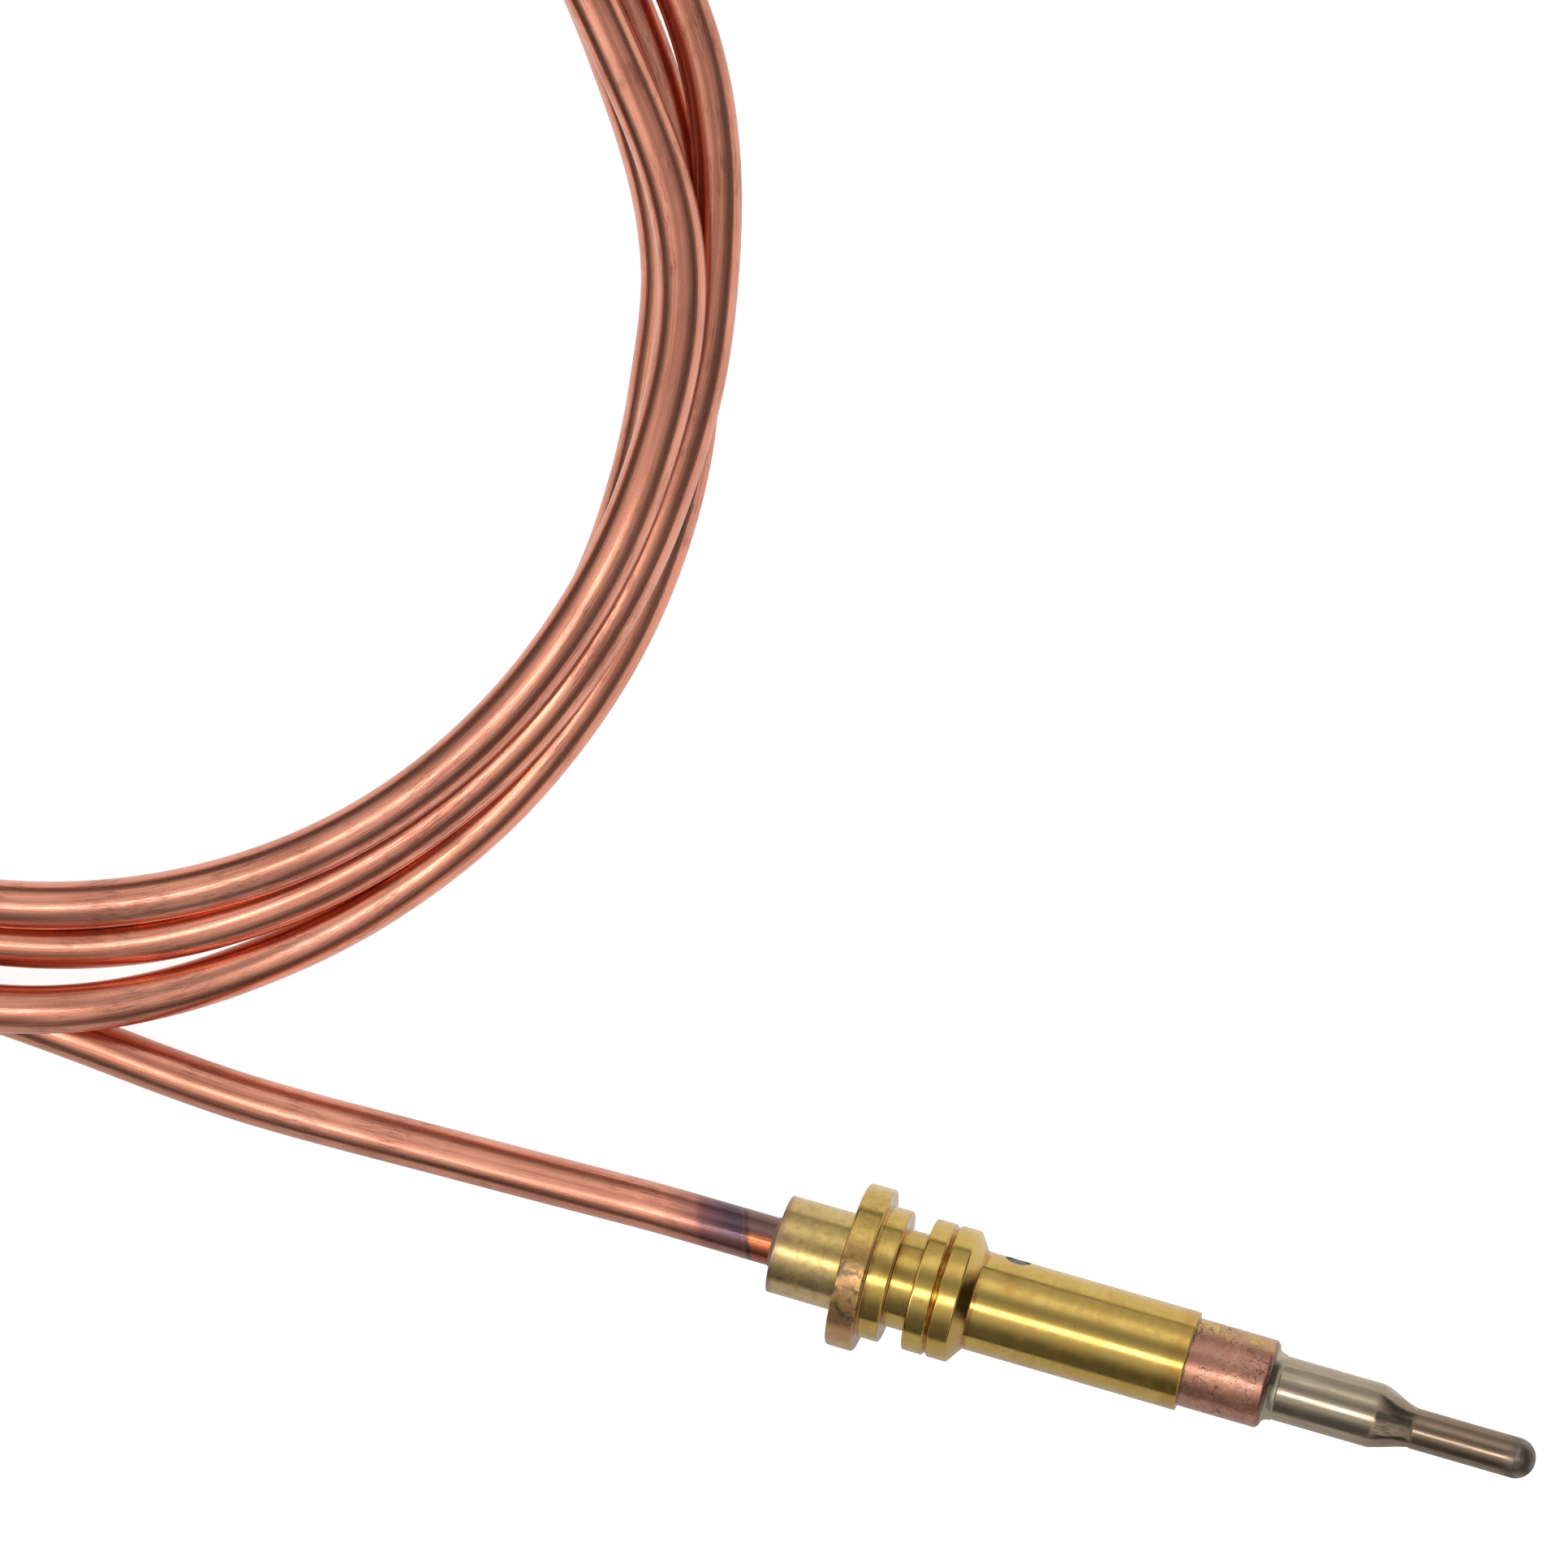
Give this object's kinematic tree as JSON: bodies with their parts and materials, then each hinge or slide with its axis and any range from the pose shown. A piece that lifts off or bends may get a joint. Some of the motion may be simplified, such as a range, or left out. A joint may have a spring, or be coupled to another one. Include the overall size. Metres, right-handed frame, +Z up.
{
  "type": "thermocouple",
  "caption": "Push-in pilot thermocouple: turned brass head with swaged nickel-alloy hot junction, coiled copper lead and a loose union nut with insulated end contact.",
  "frame": {"origin": "under the middle of the head, on the surface that its flange and the coil rest on", "axes": "+X along the head's axis towards the hot tip, +Z up; the coil lies flat on the -X, +Y side and the cold end points along +Y"},
  "size_m": [0.1555, 0.0969, 0.0109],
  "materials": {
    "brass": "turned, bright, with heat-reddened patches",
    "copper": "drawn copper, satin, lightly oxidised",
    "nickel_alloy": "swaged, satin, faint brown tint",
    "weld": "matte, scaled",
    "silver_braze": "satin, flowed",
    "solder": "dull grey",
    "constantan": "drawn wire",
    "ceramic_tube": "unglazed",
    "glass_sleeve": "braided glass fibre",
    "fibre": "vulcanised fibre"
  },
  "bodies": {
    "thermocouple": {"head_body": "brass", "port_plug": "solder", "sheath": "nickel_alloy", "junction_weld": "weld", "core_wire": "constantan", "core_insulator": "ceramic_tube", "front_braze": "silver_braze", "rear_braze": "silver_braze", "capillary_end_hot": "copper", "conductor_hot": "copper", "conductor_sleeve_hot": "glass_sleeve", "splice_ferrule": "copper", "splice_insulator": "glass_sleeve", "lead_run_hot": "copper", "lead_coil": "copper", "lead_run_cold": "copper", "capillary_end_cold": "copper", "conductor_cold": "copper", "conductor_sleeve_cold": "glass_sleeve", "end_ferrule": "brass", "ferrule_braze": "silver_braze", "insulating_washer": "fibre", "contact_button": "solder"},
    "nut": {"union_nut": "brass"}
  },
  "joints": [
    {"name": "nut_spin", "type": "hinge", "parent": "thermocouple", "child": "nut", "pos_m": [-0.1255, 0.081, 0.0059], "axis": [0, 1, 0], "continuous": true}
  ]
}
